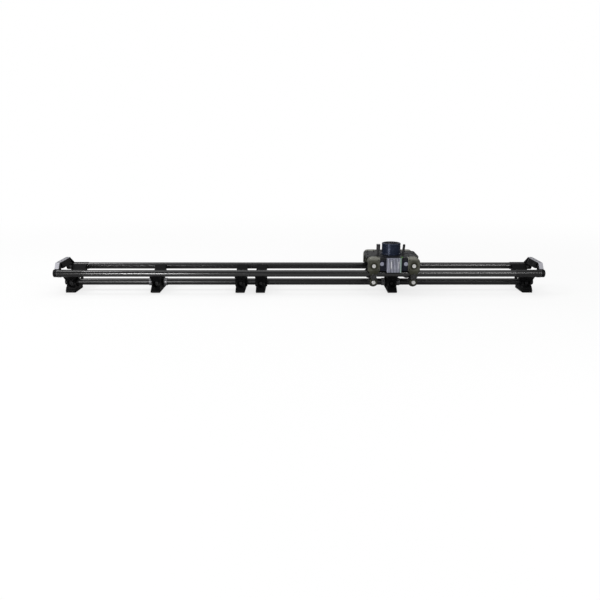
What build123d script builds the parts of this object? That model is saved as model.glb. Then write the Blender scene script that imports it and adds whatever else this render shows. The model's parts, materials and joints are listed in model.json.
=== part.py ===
from build123d import *
import os
from math import atan2, cos, radians, sin, tan

os.makedirs("parts", exist_ok=True)

# A three-tube camera slider. +X runs along the rails, +Y away from the working side, +Z up.
# The origin is mid-length, under the centre of the base plates. All sizes are in millimetres.

# ---- rails and tubes ----
overall_length = 2486.0
rail_radius = 17.0
tube_wall = 2.5
rail_y = 100.0
rail_z = 110.0
lower_z = 45.0
lower_tube_end = 1215.0
joint_x = -250.0
spigot_length = 120.0
fit = 0.05                      # radial clearance of a fitted bore

# ---- end castings and base plates ----
end_x = overall_length / 2
casting_x = 1180.0
near_sleeve_x = 1098.0           # inner end of the sleeve that carries the stop
far_sleeve_x = 1128.0
sleeve_radius = 19.0
band_radius = 20.5
band_width = 16.0
ring_width = 2.0
lug_length = 20.0
lug_width = 13.0
lug_bottom = 82.0
bumper_radius = 4.5
bumper_length = 4.0
base_length = 52.0
base_depth = 124.0
base_thick = 16.0
stand_hole_radius = 3.97        # 3/8 inch stand thread

# ---- handles ----
cup_depth = 19.0
cup_radius = 19.5
cup_floor = 4.0
handle_inset = 6.0              # from the end of the slider to the handle
handle_width = 21.0
handle_flare = 18.0             # how much wider a leg is at its foot
handle_top = 159.0
handle_bar = 29.0               # height of the grip bar
handle_half_top = 79.0
handle_half_foot = 112.0
handle_foot_z = 117.0
leg_thick = 16.5                # measured level, across the leaning leg
leg_plate = 7.0                 # what the pocket leaves of it
pocket_width = 26.0
pocket_low_z = 125.0
pocket_top_z = 152.0
window_width = 14.0
window_low_z = 134.0
window_top_z = 151.0
strap_thick = 2.0
strap_foot_z = 131.5

# ---- brackets ----
bracket_x = {"mid_bracket_left": -736.0, "joint_bracket_left": -302.0,
             "joint_bracket_right": -198.0, "mid_bracket_right": 478.0}
arm_tip_y = 88.0
arm_top_z = 121.5
notch_z = 74.0
bracket_foot_z = 9.0
pad_thick = 3.0
hub_radius = 25.0
spot_radius = 17.0
clamp_head_radius = 8.0
clamp_head_height = 8.0
clamp_radius = 4.0
collar_radius = 19.8
collar_width = 16.0

# ---- carriage ----
carriage_x = 476.0
wheel_base = 201.0
upper_tread = 26.0              # tread radius of the load wheels
lower_tread = 23.0              # tread radius of the keeper wheels
wheel_gap = 0.3                 # running gap between tread and rail
wheel_width = 22.0
groove_radius = rail_radius + wheel_gap
rim_width = 2.0
bearing_radius = 11.0
bearing_width = 10.0
axle_radius = 5.0
bolt_head_radius = 9.5
bolt_head_height = 7.0
boss_radius = 8.0
cheek_y = 118.0                 # inner face of the outer cheek
cheek_thick = 10.0
inner_cheek_y = 78.0
inner_cheek_thick = 7.0
truck_half = 30.0
deck_top = 193.0
deck_thick = 12.0
housing_low_z = 126.0
beam_y = 113.0
beam_thick = 10.0
beam_low_z = 128.0
grip_half = 37.5
grip_low_z = 123.0
face_y = 142.0                  # outermost face of the grip and of the star knobs
riser_radius = 48.0
riser_flange = 53.0
riser_top = 250.0
bowl_radius = 37.5
bowl_land = 6.0
tie_radius = 26.0

# ---- brake, drag and knobs ----
star_z = 99.5
star_lobe_circle = 12.0
star_lobe_radius = 5.0
brake_dx = 60.0                 # from the carriage centre, brake to the right, drag to the left
shaft_z = 163.0
shaft_radius = 5.0
cam_radius = 9.0
cam_throw = 2.2
shoe_gap = 2.0
shoe_length = 16.0
lever_lean = 5.4
lever_reach = 80.0
drag_bar_top = 170.0
drag_knob_x = carriage_x - 66.0
drag_knob_low = 212.0
drag_knob_high = 243.0

upper_axle_z = rail_z + rail_radius + wheel_gap + upper_tread
lower_axle_z = rail_z - rail_radius - wheel_gap - lower_tread
deck_low = deck_top - deck_thick


def keep(solid, name):
    """Labels a finished piece and writes it under its node's name."""
    solid.label = name
    export_step(solid, f"parts/{name}.step")


def group(solids):
    """Separate identical pieces that share one node."""
    return Compound(children=solids)


def ring(start, axis, outer, inner, length):
    """A round bar with a bore."""
    with BuildPart() as piece:
        with BuildSketch(Plane(origin=start, z_dir=axis)):
            Circle(outer)
            Circle(inner, mode=Mode.SUBTRACT)
        extrude(amount=length)
    return piece.part


def ends(solid, name):
    """Writes a piece of the right-hand end and its mirror image at the left-hand end."""
    keep(solid, f"right_{name}")
    keep(mirror(solid, about=Plane.YZ), f"left_{name}")


def four_ways(solid, centre_x):
    """A piece made at +X +Y of a centre, and its images in the other three quarters."""
    other_end = mirror(solid, about=Plane.YZ.offset(centre_x))
    pair = {"far_right": solid, "far_left": other_end}
    near = {name.replace("far", "near"): mirror(copy, about=Plane.XZ) for name, copy in pair.items()}
    return pair | near


# Rails and lower tube, each in two sections that meet at the joint.
def tube(start_x, stop_x, y, z):
    with BuildPart() as piece:
        with BuildSketch(Plane.YZ.offset(start_x)):
            with Locations((y, z)):
                Circle(rail_radius)
                Circle(rail_radius - tube_wall, mode=Mode.SUBTRACT)
        extrude(amount=stop_x - start_x)
    return piece.part


rail_end = end_x - cup_floor
tube_rows = {"near_rail": (-rail_y, rail_z, rail_end), "far_rail": (rail_y, rail_z, rail_end),
             "lower_tube": (0.0, lower_z, lower_tube_end)}
for row, (y, z, reach) in tube_rows.items():
    keep(tube(-reach, joint_x, y, z), f"{row}_left")
    keep(tube(joint_x, reach, y, z), f"{row}_right")

# One spigot inside each tube carries it across the joint.
keep(group([ring((joint_x - spigot_length / 2, y, z), (1, 0, 0), rail_radius - tube_wall - fit,
                 rail_radius - 2 * tube_wall, spigot_length) for y, z, _ in tube_rows.values()]),
     "joint_spigots")

# Domed plugs close the lower tube.
cap_height = 8.0
plug_depth = 12.0
with BuildPart() as tube_cap:
    with BuildSketch(Plane.YZ.offset(lower_tube_end)):
        with Locations((0, lower_z)):
            Circle(rail_radius)
    extrude(amount=cap_height)
    fillet(tube_cap.faces().sort_by(Axis.X)[-1].edges(), cap_height * 0.7)
    with BuildSketch(Plane.YZ.offset(lower_tube_end)):
        with Locations((0, lower_z)):
            Circle(rail_radius - tube_wall - fit)
    extrude(amount=-plug_depth)
keep(group([tube_cap.part, mirror(tube_cap.part, about=Plane.YZ)]), "lower_tube_caps")


# Brackets and end castings share one form: an hourglass from the end and from the side.
def hourglass(centre_x, half_outline, arm_reach, waist_half, foot_half, round_radius):
    """half_outline runs from the notch to the foot at +Y; arm_reach is how far an arm goes to -X and +X."""
    foot_z = half_outline[-1][1]
    waist_y, waist_z = min(half_outline[3:-1])
    arm_low_z = lower_z + 44
    outline = half_outline + [(-y, z) for y, z in reversed(half_outline) if y > 0]
    with BuildPart() as casting:
        with BuildSketch(Plane.YZ.offset(centre_x - arm_reach[0])) as end_view:
            with BuildLine():
                Polyline(*outline, close=True)
            make_face()
            corners = end_view.vertices()
            waists = corners.filter_by(lambda v: abs(abs(v.X) - waist_y) < 0.1 and abs(v.Y - waist_z) < 0.1)
            notch = corners.filter_by(lambda v: abs(v.X) < 0.1 and v.Y > lower_z)
            fillet(waists, round_radius)
            fillet(notch, round_radius / 2)
        extrude(amount=sum(arm_reach))
        with BuildSketch(Plane.XZ):
            for way, reach in zip((-1, 1), arm_reach):
                with BuildLine():
                    foot = (centre_x + way * foot_half, foot_z)
                    waist = (centre_x + way * waist_half, lower_z)
                    arm = (centre_x + way * reach, arm_low_z)
                    Line(foot, waist)
                    ThreePointArc(waist, (waist[0] + way * 1.3, lower_z + 24), arm)
                    Polyline(arm, (arm[0], arm_top_z + 1), (centre_x, arm_top_z + 1), (centre_x, foot_z), foot)
                make_face()
        extrude(amount=2 * rail_y, both=True, mode=Mode.INTERSECT)
    return casting.part


def recess(centre_x, low, high, width, depth, side):
    """A shallow panel cut into a sloping face that runs from one (y, z) to another."""
    (y0, z0), (y1, z1) = low, high
    length = ((y1 - y0) ** 2 + (z1 - z0) ** 2) ** 0.5
    outward = (0, side * (z1 - z0) / length, -(y1 - y0) / length)
    middle = (centre_x, side * (y0 + y1) / 2, (z0 + z1) / 2)
    with BuildPart() as pocket:
        with BuildSketch(Plane(origin=middle, x_dir=(1, 0, 0), z_dir=outward)):
            RectangleRounded(width, length, 4.0)
        extrude(amount=depth, both=True)
    return pocket.part


def along(start, stop, first, last):
    """Two points on a line, at fractions of its length."""
    (y0, z0), (y1, z1) = start, stop
    return [(y0 + (y1 - y0) * t, z0 + (z1 - z0) * t) for t in (first, last)]


def clamp_screw(centre_x, side, seat_y):
    """The socket screw that pinches the lower tube, with its shank in the casting."""
    seat = Plane(origin=(centre_x, side * seat_y, lower_z), z_dir=(0, side, 0))
    with BuildPart() as screw:
        with BuildSketch(seat):
            Circle(clamp_head_radius)
        extrude(amount=clamp_head_height)
        with BuildSketch(seat.offset(clamp_head_height)):
            RegularPolygon(clamp_head_radius * 0.55, 6)
        extrude(amount=-clamp_head_height / 2, mode=Mode.SUBTRACT)
        with BuildSketch(seat):
            Circle(clamp_radius)
        extrude(amount=rail_radius + 1 - seat_y)
    return screw.part


def dress(casting, centre_x, spot_y, boss_half, panels):
    """Tube hub, clamp seats, recessed panels and the bores of a casting."""
    with BuildPart() as piece:
        add(casting)
        with BuildSketch(Plane.YZ.offset(centre_x)):
            with Locations((0, lower_z)):
                Circle(hub_radius)
        extrude(amount=boss_half, both=True)
        for side in (-1, 1):
            with BuildSketch(Plane(origin=(centre_x, side * spot_y, lower_z), z_dir=(0, side, 0))):
                Circle(spot_radius)
            extrude(amount=rail_y, mode=Mode.SUBTRACT)
            with BuildSketch(Plane(origin=(centre_x, 0, lower_z), z_dir=(0, side, 0))):
                Circle(clamp_radius + fit)
            extrude(amount=rail_y, mode=Mode.SUBTRACT)
            for low, high, width in panels:
                add(recess(centre_x, low, high, width, 2.5, side), mode=Mode.SUBTRACT)
        with BuildSketch(Plane.YZ.offset(centre_x)):
            with Locations((0, lower_z), (-rail_y, rail_z), (rail_y, rail_z)):
                Circle(rail_radius + fit)
        extrude(amount=rail_y, both=True, mode=Mode.SUBTRACT)
    return piece.part


bracket_arm = (86.0, 92.0)
bracket_waist = (58.0, 45.0)
bracket_foot = (92.0, 14.0)
bracket_outline = [(0.0, notch_z), (76.0, arm_top_z), (arm_tip_y, arm_top_z), (arm_tip_y, 96.0),
                   bracket_arm, bracket_waist, bracket_foot, (bracket_foot[0], bracket_foot_z)]
bracket_arm_half = 27.5
waist_half = 22.5
foot_half = 24.0
bracket_spot_y = 34.0
bracket_boss = 31.0
bracket_panels = [(*along(bracket_foot, bracket_waist, 0.12, 0.62), 32.0),
                  (*along(bracket_waist, bracket_arm, 0.5, 0.92), 36.0)]
clamp_screws = []
pads = []
collars = []
for name, x in bracket_x.items():
    blank = hourglass(x, bracket_outline, (bracket_arm_half, bracket_arm_half), waist_half, foot_half, 20.0)
    keep(dress(blank, x, bracket_spot_y, bracket_boss, bracket_panels), name)
    clamp_screws += [clamp_screw(x, side, bracket_spot_y) for side in (-1, 1)]
    with BuildPart() as pad:
        with BuildSketch(Plane.XY.offset(bracket_foot_z)):
            with Locations((x, 0)):
                RectangleRounded(2 * foot_half - 2, 2 * bracket_foot[0] - 2, 3.0)
        extrude(amount=-pad_thick)
    pads.append(pad.part)
    if name.startswith("mid"):
        for start in (x + bracket_boss, x - bracket_boss - collar_width):
            collars.append(ring((start, 0, lower_z), (1, 0, 0), collar_radius, rail_radius + fit, collar_width))
keep(group(pads), "bracket_pads")
keep(group(collars), "tube_collars")

# End castings: arms that reach inward from a narrower waist, two rail sleeves and a splayed foot.
# The near sleeve is the longer one and carries the stop for the carriage.
casting_arm = (84.0, 90.0)
casting_waist = (34.0, 43.0)
casting_foot = (56.0, 24.0)
casting_outline = [(0.0, notch_z), (76.0, arm_top_z), (arm_tip_y, arm_top_z), (arm_tip_y, 96.0),
                   casting_arm, casting_waist, casting_foot, (casting_foot[0], base_thick)]
casting_spot_y = 28.0
casting_panels = [(*along(casting_waist, casting_arm, 0.42, 0.9), 34.0)]
sleeve_outer_x = end_x - cup_depth - ring_width
with BuildPart() as end_casting:
    add(hourglass(casting_x, casting_outline, (48.0, 25.0), waist_half, foot_half, 14.0))
    for y, start_x in ((-rail_y, near_sleeve_x), (rail_y, far_sleeve_x)):
        with BuildSketch(Plane.YZ.offset(start_x)):
            with Locations((y, rail_z)):
                Circle(sleeve_radius)
        extrude(amount=sleeve_outer_x - start_x)
        fillet(end_casting.edges().filter_by(GeomType.CIRCLE).filter_by_position(Axis.X, start_x, start_x), 1.0)
    with BuildSketch(Plane.YZ.offset(sleeve_outer_x)):
        with Locations((-rail_y, rail_z), (rail_y, rail_z)):
            Circle(band_radius)
    extrude(amount=-band_width)
    with BuildSketch(Plane.YZ.offset(near_sleeve_x)):
        with Locations((-rail_y, (rail_z + lug_bottom) / 2)):
            RectangleRounded(lug_width, rail_z - lug_bottom, 3.0)
    extrude(amount=lug_length)
    with BuildSketch(Plane.YZ.offset(near_sleeve_x)):
        with Locations((-rail_y, lug_bottom + 6)):
            Circle(bumper_radius / 2 + fit)
    extrude(amount=lug_length, mode=Mode.SUBTRACT)
ends(dress(end_casting.part, casting_x, casting_spot_y, 29.0, casting_panels), "end_casting")

with BuildPart() as bumper:
    with BuildSketch(Plane.YZ.offset(near_sleeve_x)):
        with Locations((-rail_y, lug_bottom + 6)):
            Circle(bumper_radius)
    extrude(amount=-bumper_length)
    fillet(bumper.faces().sort_by(Axis.X)[0].edges(), 1.5)
    with BuildSketch(Plane.YZ.offset(near_sleeve_x)):
        with Locations((-rail_y, lug_bottom + 6)):
            Circle(bumper_radius / 2)
    extrude(amount=lug_length * 0.8)
keep(group([bumper.part, mirror(bumper.part, about=Plane.YZ)]), "stop_bumpers")

for way in (-1, 1):
    clamp_screws += [clamp_screw(way * casting_x, side, casting_spot_y) for side in (-1, 1)]
keep(group(clamp_screws), "clamp_screws")

with BuildPart() as base_plate:
    with BuildSketch():
        with Locations((casting_x, 0)):
            RectangleRounded(base_length, base_depth, 6.0)
            Circle(stand_hole_radius, mode=Mode.SUBTRACT)
    extrude(amount=base_thick)
    chamfer(base_plate.faces().sort_by(Axis.Z)[-1].outer_wire().edges(), 1.5)
ends(base_plate.part, "base_plate")


# Handles: a leaning frame with a cup for each rail, and a bright strap over its outside.
handle_out_x = end_x - handle_inset
handle_in_x = handle_out_x - handle_width
lean = atan2(handle_top - handle_foot_z, handle_half_foot - handle_half_top)


def leg_y(z):
    """The outer face of the leaning leg at a height."""
    return handle_half_foot - (z - handle_foot_z) / tan(lean)


bar_low_z = handle_top - handle_bar
with BuildPart() as handle_frame:
    with BuildSketch(Plane.YZ.offset(handle_in_x - handle_flare)) as end_view:
        half = [(handle_half_top, handle_top), (handle_half_foot, handle_foot_z),
                (handle_half_foot - leg_thick, handle_foot_z), (leg_y(bar_low_z) - leg_thick, bar_low_z)]
        with BuildLine():
            Polyline(*half, *[(-y, z) for y, z in reversed(half)], close=True)
        make_face()
        fillet(end_view.vertices().filter_by(lambda v: v.Y > handle_top - 1), 3.0)
        fillet(end_view.vertices().filter_by(lambda v: abs(v.Y - bar_low_z) < 0.1), 9.0)
    extrude(amount=handle_width + handle_flare)
    with BuildSketch(Plane.XZ):
        with BuildLine():
            Polyline((handle_out_x, handle_foot_z), (handle_out_x, handle_top), (handle_in_x, handle_top),
                     (handle_in_x - handle_flare, handle_foot_z), close=True)
        make_face()
    extrude(amount=2 * rail_y, both=True, mode=Mode.INTERSECT)
    # A pocket behind each leg leaves a plate, and an arched window goes through the plate.
    window_x = handle_in_x + window_width / 2
    for side in (-1, 1):
        with BuildSketch(Plane.YZ.offset(handle_in_x - handle_flare)):
            outer_low, outer_top = (leg_y(z) - leg_plate for z in (pocket_low_z, pocket_top_z))
            with BuildLine():
                Polyline((side * outer_low, pocket_low_z), (side * outer_top, pocket_top_z),
                         (side * (outer_top - pocket_width), pocket_top_z),
                         (side * (outer_low - pocket_width), pocket_low_z), close=True)
            make_face()
        extrude(amount=handle_flare + window_width, mode=Mode.SUBTRACT)
        with BuildSketch(Plane.XZ.offset(-side * rail_y / 2)):
            arch_z = window_top_z - window_width / 2
            with Locations((window_x, (window_low_z + arch_z) / 2)):
                Rectangle(window_width, arch_z - window_low_z)
            with Locations((window_x, arch_z)):
                Circle(window_width / 2)
        extrude(amount=-side * rail_y, mode=Mode.SUBTRACT)
    with BuildSketch(Plane.YZ.offset(end_x - cup_depth)):
        with Locations((-rail_y, rail_z), (rail_y, rail_z)):
            Circle(band_radius + 4 * fit)
    extrude(amount=-handle_width - handle_flare, mode=Mode.SUBTRACT)
    with BuildSketch(Plane.YZ.offset(end_x - cup_depth)):
        with Locations((-rail_y, rail_z), (rail_y, rail_z)):
            Circle(cup_radius)
    extrude(amount=cup_depth)
    fillet(handle_frame.faces().sort_by(Axis.X)[-2:].edges(), 3.5)
    with BuildSketch(Plane.YZ.offset(end_x - cup_depth)):
        with Locations((-rail_y, rail_z), (rail_y, rail_z)):
            Circle(rail_radius + fit)
    extrude(amount=cup_depth - cup_floor, mode=Mode.SUBTRACT)
ends(handle_frame.part, "handle_frame")

with BuildPart() as handle_strap:
    with BuildSketch(Plane.YZ.offset(handle_in_x)) as end_view:
        out_y, out_z = strap_thick * sin(lean), strap_thick * cos(lean)
        foot_y = leg_y(strap_foot_z)
        corner_y = handle_half_top + strap_thick * tan(lean / 2)
        half = [(corner_y, handle_top + strap_thick), (foot_y + out_y, strap_foot_z + out_z),
                (foot_y, strap_foot_z), (handle_half_top, handle_top)]
        with BuildLine():
            Polyline(*half, *[(-y, z) for y, z in reversed(half)], close=True)
        make_face()
        fillet(end_view.vertices().filter_by(lambda v: abs(v.Y - handle_top) < 0.1), 3.0)
        fillet(end_view.vertices().filter_by(lambda v: v.Y > handle_top + 1), 3.0 + strap_thick)
    extrude(amount=handle_width)
ends(handle_strap.part, "handle_strap")

rail_ring = ring((sleeve_outer_x, rail_y, rail_z), (1, 0, 0), sleeve_radius, rail_radius + fit, ring_width)
keep(group(list(four_ways(rail_ring, 0).values())), "rail_rings")


# Carriage. The truck is a casting over one end of one rail: an outer cheek with both axles,
# a roof with a rounded nose, and an inner cheek that stays above the rail and the brackets.
wheel_x = carriage_x + wheel_base / 2
nose_radius = 22.0
lobe_radius = 19.0
roof = 10.0
shell_height = 22.0
with BuildPart() as truck:
    with BuildSketch(Plane.XZ.offset(-cheek_y)) as cheek:
        with Locations((wheel_x, (deck_top + housing_low_z) / 2)):
            Rectangle(2 * truck_half, deck_top - housing_low_z)
        fillet(cheek.vertices().sort_by(Axis.X)[-2:].sort_by(Axis.Y)[-1], nose_radius)
        with BuildLine():
            Polyline((wheel_x - 26, housing_low_z), (wheel_x - 12, star_z), (wheel_x - 12, lower_axle_z),
                     (wheel_x + 12, lower_axle_z), (wheel_x + 12, star_z), (wheel_x + 26, housing_low_z),
                     close=True)
        make_face()
        with Locations((wheel_x, lower_axle_z)):
            Circle(lobe_radius)
        with Locations((wheel_x, star_z)):
            Circle(14.0)
    extrude(amount=-cheek_thick)
    fillet(truck.faces().sort_by(Axis.Y)[-1].outer_wire().edges(), 1.5)
    with BuildSketch(Plane.XZ.offset(-inner_cheek_y)) as shell:
        with Locations((wheel_x, deck_top - shell_height / 2)):
            Rectangle(2 * truck_half, shell_height)
        fillet(shell.vertices().sort_by(Axis.X)[-2:].sort_by(Axis.Y)[-1], nose_radius - 0.5)
        with BuildSketch(mode=Mode.PRIVATE) as cavity:
            with Locations((wheel_x - 5.5 / 2, deck_top - roof - 15)):
                Rectangle(2 * truck_half - 5.5, 30)
            fillet(cavity.vertices().sort_by(Axis.X)[-2:].sort_by(Axis.Y)[-1], 14.0)
        add(cavity.sketch, mode=Mode.SUBTRACT)
    extrude(amount=inner_cheek_y - cheek_y)
    with BuildSketch(Plane.XZ.offset(-inner_cheek_y)) as inner:
        with Locations((wheel_x, (deck_top + beam_low_z) / 2)):
            Rectangle(44, deck_top - beam_low_z - 4)
        fillet(inner.vertices().sort_by(Axis.Y)[:2], 14.0)
    extrude(amount=-inner_cheek_thick)
    for z, face, reach in ((upper_axle_z, inner_cheek_y + inner_cheek_thick, rail_y - bearing_width / 2),
                           (upper_axle_z, cheek_y, rail_y + bearing_width / 2),
                           (lower_axle_z, cheek_y, rail_y + bearing_width / 2)):
        with BuildSketch(Plane.XZ.offset(-face)):
            with Locations((wheel_x, z)):
                Circle(boss_radius)
        extrude(amount=face - reach)
    with BuildSketch(Plane.XZ.offset(-inner_cheek_y)):
        with Locations((wheel_x, upper_axle_z), (wheel_x, lower_axle_z)):
            Circle(axle_radius + fit)
        with Locations((wheel_x, star_z)):
            Circle(clamp_radius + fit)
    extrude(amount=-rail_y, mode=Mode.SUBTRACT)
for place, solid in four_ways(truck.part, carriage_x).items():
    keep(solid, f"truck_{place}")

# Axle bolts: the upper one runs through both cheeks to a nut, the lower one ends in the wheel.
bolt_seat = cheek_y + cheek_thick
bolts = []
bearings = []
for axle_z, stop_y, nut in ((upper_axle_z, inner_cheek_y, (inner_cheek_y, -6.0)),
                            (lower_axle_z, rail_y - 10, (rail_y - 10, 5.0))):
    with BuildPart() as axle:
        with BuildSketch(Plane.XZ.offset(-bolt_seat)):
            with Locations((wheel_x, axle_z)):
                Circle(bolt_head_radius)
        extrude(amount=-bolt_head_height)
        fillet(axle.faces().sort_by(Axis.Y)[-1].edges(), 1.5)
        with BuildSketch(Plane.XZ.offset(-bolt_seat - bolt_head_height)):
            with Locations((wheel_x, axle_z)):
                RegularPolygon(bolt_head_radius * 0.5, 6)
        extrude(amount=bolt_head_height / 2, mode=Mode.SUBTRACT)
        with BuildSketch(Plane.XZ.offset(-bolt_seat)):
            with Locations((wheel_x, axle_z)):
                Circle(axle_radius)
        extrude(amount=bolt_seat - stop_y)
        with BuildSketch(Plane.XZ.offset(-nut[0])):
            with Locations((wheel_x, axle_z)):
                Circle(boss_radius)
        extrude(amount=-nut[1])
    bolts += four_ways(axle.part, carriage_x).values()
    bearing = ring((wheel_x, rail_y - bearing_width / 2, axle_z), (0, 1, 0), bearing_radius,
                   axle_radius + fit, bearing_width)
    bearings += four_ways(bearing, carriage_x).values()
keep(group(bolts), "axle_bolts")
keep(group(bearings), "wheel_bearings")


# Grooved wheels, turned about their axle.
def wheel(tread, axle_z):
    half = wheel_width / 2
    groove_half = half - rim_width
    rim = tread + groove_radius - (groove_radius ** 2 - groove_half ** 2) ** 0.5
    bore = bearing_radius + fit
    dish = 1.5
    with BuildPart() as piece:
        with BuildSketch(Plane(origin=(wheel_x, rail_y, axle_z), x_dir=(1, 0, 0), z_dir=(0, 0, 1))):
            with BuildLine():
                Polyline((rim, -groove_half), (rim, -half), (rim - 3, -half), (rim - 4.5, -half + dish),
                         (bore + 4.5, -half + dish), (bore + 3, -half), (bore, -half), (bore, half),
                         (bore + 3, half), (bore + 4.5, half - dish), (rim - 4.5, half - dish),
                         (rim - 3, half), (rim, half), (rim, groove_half))
                ThreePointArc((rim, groove_half), (tread, 0), (rim, -groove_half))
            make_face()
        revolve(axis=Axis((wheel_x, rail_y, axle_z), (0, 1, 0)))
    return piece.part


for level, tread, axle_z in (("upper", upper_tread, upper_axle_z), ("lower", lower_tread, lower_axle_z)):
    for place, solid in four_ways(wheel(tread, axle_z), carriage_x).items():
        keep(solid, f"wheel_{level}_{place}")

# Star knobs clamp the keeper wheels.
star_seat = bolt_seat
star_top = face_y - 2
with BuildPart() as star_knob:
    with BuildSketch(Plane.XZ.offset(-star_seat)):
        with Locations((wheel_x, star_z)):
            Circle(boss_radius)
    extrude(amount=-4.0)
    with BuildSketch(Plane.XZ.offset(-star_seat - 4)):
        with Locations((wheel_x, star_z)):
            Circle(star_lobe_circle)
            with PolarLocations(star_lobe_circle, 5):
                Circle(star_lobe_radius)
    extrude(amount=-(star_top - star_seat - 4))
    fillet(star_knob.faces().sort_by(Axis.Y)[-1].edges(), 1.5)
    with BuildSketch(Plane.XZ.offset(-star_top)):
        with Locations((wheel_x, star_z)):
            Circle(7.0)
    extrude(amount=star_top - face_y)
    with BuildSketch(Plane.XZ.offset(-star_seat)):
        with Locations((wheel_x, star_z)):
            Circle(clamp_radius)
    extrude(amount=cheek_thick)
for place, solid in four_ways(star_knob.part, carriage_x).items():
    keep(solid, f"star_knob_{place}")

# Deck: a cross-shaped plate between the trucks, with ears over the side beams.
beam_half = wheel_base / 2 - truck_half
slot_start = 51.0
slot_end = 118.0
slot_width = 14.0
with BuildPart() as carriage_deck:
    with BuildSketch(Plane.XY.offset(deck_low)) as plan:
        with Locations((carriage_x, 0)):
            Rectangle(wheel_base + 2 * truck_half, 2 * inner_cheek_y)
            fillet(plan.vertices(), 8.0)
            Rectangle(2 * beam_half, 2 * (beam_y + beam_thick))
            Circle(tie_radius, mode=Mode.SUBTRACT)
        with Locations((carriage_x + (slot_start + slot_end) / 2, 0)):
            SlotOverall(slot_end - slot_start, slot_width, mode=Mode.SUBTRACT)
        with Locations((drag_knob_x, 0)):
            Circle(shaft_radius + fit, mode=Mode.SUBTRACT)
    extrude(amount=deck_thick)
keep(carriage_deck.part, "carriage_deck")

# Side beams: plates under the deck's ears, with guide ribs each side of a brake shoe or drag felt.
rib_low_z = 132.0
rib_top_z = 152.0
rib_reach = 94.0
shoe_in = brake_dx - shoe_length / 2
shoe_out = brake_dx + shoe_length / 2
with BuildPart() as side_beam:
    with BuildSketch(Plane.XZ.offset(-beam_y)):
        with Locations((carriage_x, (deck_low + beam_low_z) / 2)):
            Rectangle(2 * beam_half, deck_low - beam_low_z)
        with Locations((carriage_x - brake_dx, shaft_z), (carriage_x + brake_dx, shaft_z)):
            Circle(shaft_radius + fit, mode=Mode.SUBTRACT)
    extrude(amount=-beam_thick)
    with BuildSketch(Plane.XZ.offset(-rib_reach)):
        for way in (-1, 1):
            for start, stop in ((shoe_in - 4.3, shoe_in - 0.3), (shoe_out + 0.3, beam_half)):
                with Locations((carriage_x + way * (start + stop) / 2, (rib_low_z + rib_top_z) / 2)):
                    Rectangle(stop - start, rib_top_z - rib_low_z)
    extrude(amount=rib_reach - beam_y)
keep(side_beam.part, "side_beam_far")
keep(mirror(side_beam.part, about=Plane.XZ), "side_beam_near")

# Caps close the shaft bores; on the drag side each carries a pin that guides the drag bar.
cap_radius = 10.0
cap_thick = 4.0
pin_radius = 3.0
beam_face = beam_y + beam_thick
caps = []
for dx, pin_stop in ((brake_dx, None), (-brake_dx, rail_y + 5)):
    with BuildPart() as cap:
        with BuildSketch(Plane.XZ.offset(-beam_face)):
            with Locations((carriage_x + dx, shaft_z)):
                Circle(cap_radius)
        extrude(amount=-cap_thick)
        fillet(cap.faces().sort_by(Axis.Y)[-1].edges(), 1.2)
        if pin_stop:
            for radius, stop in ((shaft_radius, beam_y), (pin_radius, pin_stop)):
                with BuildSketch(Plane.XZ.offset(-beam_face)):
                    with Locations((carriage_x + dx, shaft_z)):
                        Circle(radius)
                extrude(amount=beam_face - stop)
    caps += [cap.part, mirror(cap.part, about=Plane.XZ)]
keep(group(caps), "shaft_caps")

# Push grip: a finned block on the near beam.
fin_pitch = 7.5
fin_gap = 3.0
fin_depth = 3.5
with BuildPart() as push_grip:
    with BuildSketch(Plane.XY.offset(grip_low_z)) as plan:
        with Locations((carriage_x, -(beam_face + face_y) / 2)):
            Rectangle(2 * grip_half, face_y - beam_face)
        fillet(plan.vertices().sort_by(Axis.Y)[:2], 6.0)
        count = int(2 * (grip_half - 7) / fin_pitch)
        with Locations((carriage_x, -face_y)):
            with GridLocations(fin_pitch, 0, count, 1):
                Rectangle(fin_gap, 2 * fin_depth, mode=Mode.SUBTRACT)
    extrude(amount=deck_top - grip_low_z)
keep(push_grip.part, "push_grip")

# Bowl riser, turned: a flange, a plain barrel with two grooves, and the bowl for a ball base.
seat_z = riser_top - bowl_land - (bowl_radius ** 2 - tie_radius ** 2) ** 0.5
with BuildPart() as bowl_riser:
    with BuildSketch(Plane.XZ):
        with BuildLine():
            Polyline((tie_radius, seat_z), (tie_radius, deck_top), (riser_flange, deck_top),
                     (riser_flange, deck_top + 5), (riser_radius, deck_top + 7),
                     (riser_radius, riser_top - 15), (riser_radius - 1.5, riser_top - 14),
                     (riser_radius - 1.5, riser_top - 12), (riser_radius, riser_top - 11),
                     (riser_radius, riser_top - 2), (riser_radius - 2, riser_top),
                     (bowl_radius, riser_top), (bowl_radius, riser_top - bowl_land))
            middle = radians(-22)
            ThreePointArc((bowl_radius, riser_top - bowl_land),
                          (bowl_radius * cos(middle), riser_top - bowl_land + bowl_radius * sin(middle)),
                          (tie_radius, seat_z))
        make_face()
    revolve(axis=Axis.Z)
keep(Pos(carriage_x, 0, 0) * bowl_riser.part, "bowl_riser")

# Bubble level on the near ear of the deck.
with BuildPart() as bubble_level:
    with BuildSketch(Plane.XY.offset(deck_top)):
        with Locations((carriage_x + 41, -112)):
            Circle(8.0)
    extrude(amount=4.0)
    fillet(bubble_level.faces().sort_by(Axis.Z)[-1].edges(), 1.2)
keep(bubble_level.part, "bubble_level")

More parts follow.
